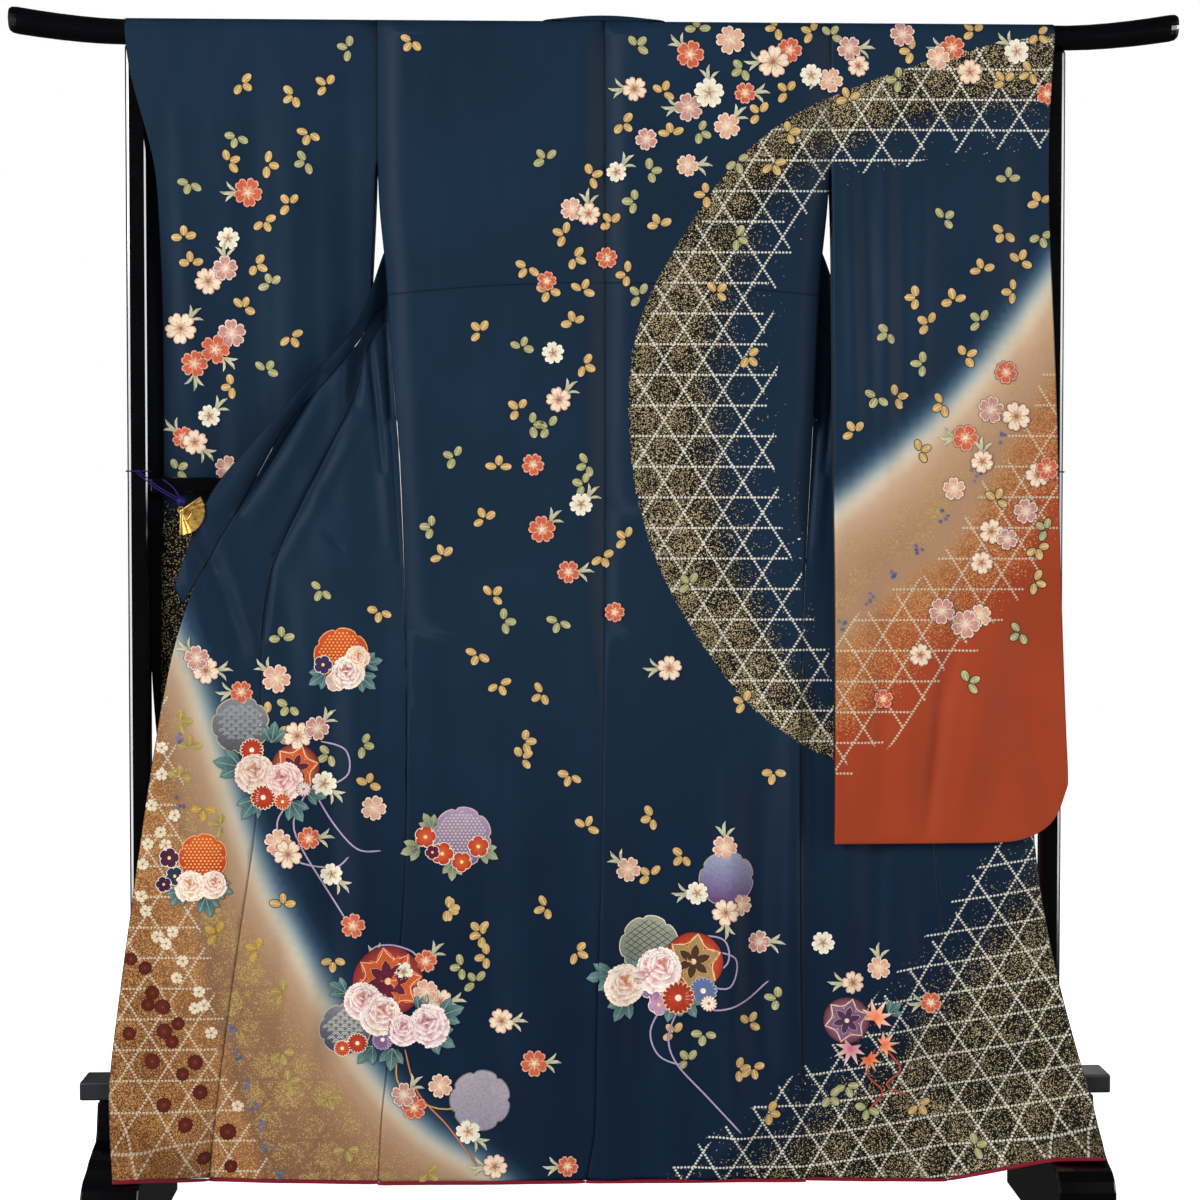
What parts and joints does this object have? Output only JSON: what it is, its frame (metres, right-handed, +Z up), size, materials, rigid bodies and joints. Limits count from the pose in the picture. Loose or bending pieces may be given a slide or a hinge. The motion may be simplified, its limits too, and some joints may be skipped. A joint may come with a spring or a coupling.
{
  "type": "furisode kimono on a kimono stand",
  "caption": "Long-sleeved formal kimono hung by its shoulders over a lacquered stand, back outwards, both fronts opened to the posts and held by fan clips.",
  "frame": {"origin": "on the floor, under the middle of the stand", "axes": "+X along the rail to the right as the garment's back is seen, +Y from the garment's back through to its opened side, +Z up"},
  "size_m": [1.682, 0.35, 1.7582],
  "materials": {
    "silk_navy": "matt crepe silk, paste-resist dyed, with gold leaf and embroidery",
    "silk_burgundy": "plain silk lining with a soft sheen",
    "lacquer_black": "polished black lacquer",
    "lacquer_satin": "satin black lacquer",
    "brass_gilt": "gilt, pressed in pleats",
    "cord_purple": "braided cord"
  },
  "bodies": {
    "root": {"body_left": "silk_navy", "okumi_left": "silk_navy", "sleeve_left": "silk_navy", "body_right": "silk_navy", "okumi_right": "silk_navy", "sleeve_right": "silk_navy", "collar": "silk_navy", "hem_roll_back_left": "silk_burgundy", "hem_roll_front_left": "silk_burgundy", "hem_roll_okumi_left": "silk_burgundy", "hem_roll_back_right": "silk_burgundy", "hem_roll_front_right": "silk_burgundy", "hem_roll_okumi_right": "silk_burgundy", "rail": "lacquer_black", "post_left": "lacquer_black", "post_right": "lacquer_black", "crossbar": "lacquer_black", "foot_left": "lacquer_black", "foot_right": "lacquer_black", "plank": "lacquer_satin", "fan_clip_left": "brass_gilt", "fan_ring_left": "brass_gilt", "cord_knot_left": "cord_purple", "cord_loop_left": "cord_purple", "cord_upper_left": "cord_purple", "cord_lower_left": "cord_purple", "fan_clip_right": "brass_gilt", "fan_ring_right": "brass_gilt", "cord_knot_right": "cord_purple", "cord_loop_right": "cord_purple", "cord_upper_right": "cord_purple", "cord_lower_right": "cord_purple", "cord_tail_left": "cord_purple"}
  },
  "joints": []
}
